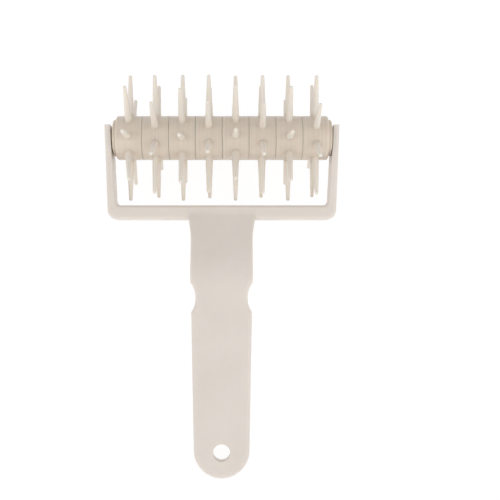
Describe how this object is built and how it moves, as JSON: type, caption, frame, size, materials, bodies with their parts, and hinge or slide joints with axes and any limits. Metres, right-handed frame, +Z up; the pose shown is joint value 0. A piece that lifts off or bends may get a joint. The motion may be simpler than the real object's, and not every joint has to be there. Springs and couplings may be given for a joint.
{
  "type": "dough docker",
  "caption": "Hand-held roller docker: a cream plastic yoke with a flat grip and hang hole carries a free-turning roller of spiked rings that pricks dough.",
  "frame": {"origin": "on the table under the middle of the tool, where it lies on its lowest spikes and the end of its grip", "axes": "+X along the roller's axis, -Y towards the end of the handle, +Z up from the table; the flat grip leans 16.00 degrees about X, its end down"},
  "size_m": [0.1208, 0.2025, 0.0647],
  "materials": {
    "handle_plastic": "satin moulded cream plastic",
    "ring_plastic": "satin moulded cream plastic",
    "cap_plastic": "satin moulded cream plastic",
    "core_plastic": "plain moulded cream plastic"
  },
  "bodies": {
    "frame": {"yoke_handle": "handle_plastic"},
    "roller": {"spike_ring_1": "ring_plastic", "spike_ring_2": "ring_plastic", "spike_ring_3": "ring_plastic", "spike_ring_4": "ring_plastic", "spike_ring_5": "ring_plastic", "spike_ring_6": "ring_plastic", "spike_ring_7": "ring_plastic", "spike_ring_8": "ring_plastic", "core_tube": "core_plastic", "left_end_cap": "cap_plastic", "right_end_cap": "cap_plastic"}
  },
  "joints": [
    {"name": "roller_spin", "type": "hinge", "parent": "frame", "child": "roller", "pos_m": [0, 0.06881, 0.03245], "axis": [1, 0, 0], "continuous": true}
  ]
}
